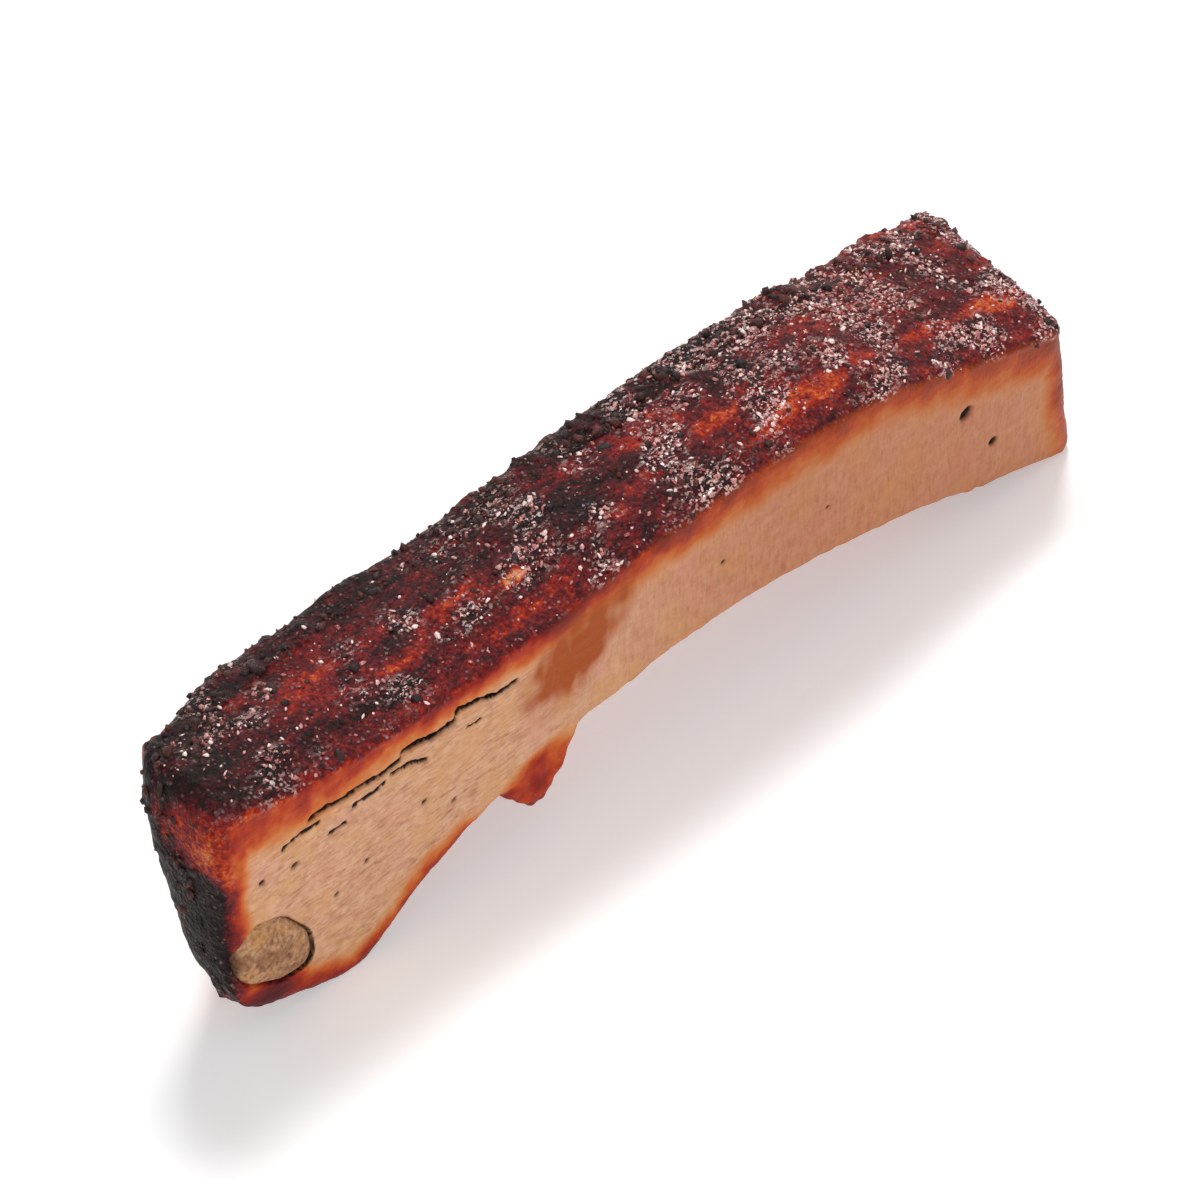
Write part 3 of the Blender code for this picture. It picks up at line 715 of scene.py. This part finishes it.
def scattered(name, count, weight, smallest, largest, flatness, sunk, seed):
    """Joined pebbles: each vertex is centre + size * (its corner, squashed, roughened and freely turned)."""
    rng = np.random.default_rng(seed)
    chance = np.clip(weight, 0, None).ravel()
    chosen = rng.choice(chance.size, count, replace=False, p=chance / chance.sum())
    size = smallest + (largest - smallest) * rng.random(count) ** 2.2
    axes = np.linalg.qr(rng.normal(size=(count, 3, 3)))[0]
    rough = 1 + rng.uniform(-0.35, 0.35, (count, 12, 1))
    squash = rng.uniform((0.9, 0.7, flatness), (1.6, 1.0, flatness + 0.3), (count, 3))[:, None]
    corners = pebble_points[None] * rough * squash
    corners = np.einsum("cpk,ckj->cpj", corners, axes) * size[:, None, None]
    centres = sheet.reshape(-1, 3)[chosen] + sheet_normal.reshape(-1, 3)[chosen] * (size * (1 - 2 * sunk))[:, None]
    points = (corners + centres[:, None]).reshape(-1, 3)
    faces = (pebble_faces[None] + 12 * np.arange(count)[:, None, None]).reshape(-1, 3)
    turned_in = np.linalg.det(axes) < 0
    faces = np.where(np.repeat(turned_in, 20)[:, None], faces[:, ::-1], faces)
    own = np.repeat(rng.random(count), 12)
    return smooth_piece(name, points, faces.tolist(), {"own": own})


sugar_weight = (glaze ** 1.2 + 0.05 * on_bark) * fade(0.5, 0.9, outward[..., 2])
sugar_grains = scattered("sugar_grains", 3100, sugar_weight, 0.00015, 0.00056, 0.35, 0.60, 82)
crumb_weight = on_bark * (0.04 + 1.2 * back_edge + 0.35 * fade(0.90, 0.98, along)[:, None] + 0.25 * glaze_and_glint_clusters)
charred_crumbs = scattered("charred_crumbs", 700, crumb_weight, 0.0003, 0.0010, 0.60, 0.60, 83)
sugar, sugar_shader, place = new_material("glazed_sugar")
own = place.mark("own")
sugar_speckle = place.noise(2600, 2)
# The grains' own reddish pink, with painted glints in the pale pink and near-white stops.
sugar_and_glint_ramp = (
    (0.00, shade(112, 36, 36)), (0.35, shade(164, 82, 78)), (0.65, shade(212, 146, 140)), (0.90, shade(248, 222, 214)),
)
sugar_and_glint_colour = (own + (sugar_speckle - 0.5) * 0.3).ramp(sugar_and_glint_ramp)
connect(sugar_shader, "Base Color", sugar_and_glint_colour)
connect(sugar_shader, "Roughness", 0.14 + sugar_speckle * 0.2)
sugar_shader.inputs["Specular IOR Level"].default_value = 0.8
connect(sugar_shader, "Normal", sugar_speckle.bump(0.5, 0.0002))
sugar_grains.data.materials.append(sugar)
char, char_shader, place = new_material("burnt_crumb")
own = place.mark("own")
char_speckle = place.noise(1700, 3)
char_ramp = ((0.20, shade(24, 16, 15)), (0.60, shade(52, 26, 24)), (0.90, shade(98, 40, 30)))
char_colour = (own * 0.6 + char_speckle * 0.5).ramp(char_ramp)
connect(char_shader, "Base Color", char_colour)
connect(char_shader, "Roughness", 0.40 + char_speckle * 0.3)
char_shader.inputs["Specular IOR Level"].default_value = 0.3
connect(char_shader, "Normal", char_speckle.bump(0.8, 0.0004))
charred_crumbs.data.materials.append(char)

# ---- The stand, the lamps and the camera ----
# A pale table that rises all round into a wall, a soft lamp above and behind, a wide one in front, and a long lens.
radii = np.concatenate([np.linspace(0.02, 0.6, 24), np.linspace(0.7, 3.0, 14),
                        3 + 0.5 * np.linspace(0.2, 1, 6)])
rise = np.where(radii > 2.0, (np.clip(radii - 2.0, 0, 1.5)) ** 2 * 1.1, 0)
bearing = np.linspace(0, 2 * math.pi, 96, endpoint=False)
table_points = np.stack([radii[:, None] * np.cos(bearing), radii[:, None] * np.sin(bearing),
                         rise[:, None] + 0 * bearing], axis=-1)
at = np.arange(len(radii) * 96).reshape(-1, 96)
turned = np.roll(at, -1, axis=1)
table_quads = np.stack([at[:-1], at[1:], turned[1:], turned[:-1]], axis=-1).reshape(-1, 4)
table_mesh = bpy.data.meshes.new("table")
table_mesh.from_pydata(table_points.reshape(-1, 3), [], table_quads.tolist() + [at[0].tolist()])
table_mesh.polygons.foreach_set("use_smooth", np.ones(len(table_mesh.polygons), bool))
table = bpy.data.objects.new("table", table_mesh)
bpy.context.scene.collection.objects.link(table)
table_finish, table_shader, place = new_material("pale_table")
table_shader.inputs["Base Color"].default_value = (0.93, 0.93, 0.93, 1)
table_shader.inputs["Roughness"].default_value = 0.9
table_shader.inputs["Specular IOR Level"].default_value = 0.1
distance = place.node("ShaderNodeVectorMath", {"operation": "LENGTH"}, {0: place}, "Value")
rays = place.node("ShaderNodeLightPath", output="Is Camera Ray")
seen = rays.maths("MAXIMUM", rays, Value(rays.socket.node.outputs["Is Glossy Ray"]))
seen = seen.maths("MAXIMUM", seen, Value(rays.socket.node.outputs["Is Transmission Ray"]))
white = place.node("ShaderNodeEmission", {}, {"Color": (1, 1, 1, 1), "Strength": 1.0})
lift = place.node("ShaderNodeEmission", {}, {"Color": (1, 1, 1, 1), "Strength": seen * 0.22})
plain = place.node("ShaderNodeAddShader", {}, {0: Value(table_shader.outputs["BSDF"]), 1: lift})
shown = place.node("ShaderNodeMixShader", {}, {0: seen * distance.between(0.15, 0.45), 1: plain, 2: white})
output = table_finish.node_tree.nodes["Material Output"]
table_finish.node_tree.links.new(shown.socket, output.inputs["Surface"])
table_mesh.materials.append(table_finish)

world = bpy.data.worlds.new("studio")
world.use_nodes = True
world.node_tree.nodes["Background"].inputs["Color"].default_value = (1, 1, 1, 1)
world.node_tree.nodes["Background"].inputs["Strength"].default_value = 0.34
bpy.context.scene.world = world

middle_point = Vector((-0.0047, -0.0024, 0.0170))


def soft_lamp(name, direction, distance, size, level):
    """A square lamp facing the rib, of power level * (pi * distance)^2: a white card shows this level."""
    lamp = bpy.data.lights.new(name, "AREA")
    lamp.shape, lamp.size = "SQUARE", size
    lamp.energy = level * (math.pi * distance) ** 2
    holder = bpy.data.objects.new(name, lamp)
    toward = Vector(direction).normalized()
    holder.location = middle_point + toward * distance
    holder.rotation_euler = toward.to_track_quat("Z", "Y").to_euler()
    bpy.context.scene.collection.objects.link(holder)


soft_lamp("key", (0.33, 0.38, 0.86), 1.1, 0.34, 0.80)
soft_lamp("front", (-0.40, -0.85, 0.45), 1.2, 0.70, 0.48)

camera_data = bpy.data.cameras.new("camera")
camera_data.lens, camera_data.sensor_width = 158.7, 36.0
camera = bpy.data.objects.new("camera", camera_data)
azimuth, elevation = math.radians(-46), math.radians(42)
backwards = Vector((math.sin(azimuth) * math.cos(elevation), -math.cos(azimuth) * math.cos(elevation),
                    math.sin(elevation)))
camera.location = middle_point + backwards * 0.756
camera.rotation_euler = backwards.to_track_quat("Z", "Y").to_euler()
bpy.context.scene.collection.objects.link(camera)
bpy.context.scene.camera = camera
bpy.context.scene.view_settings.view_transform = "Standard"
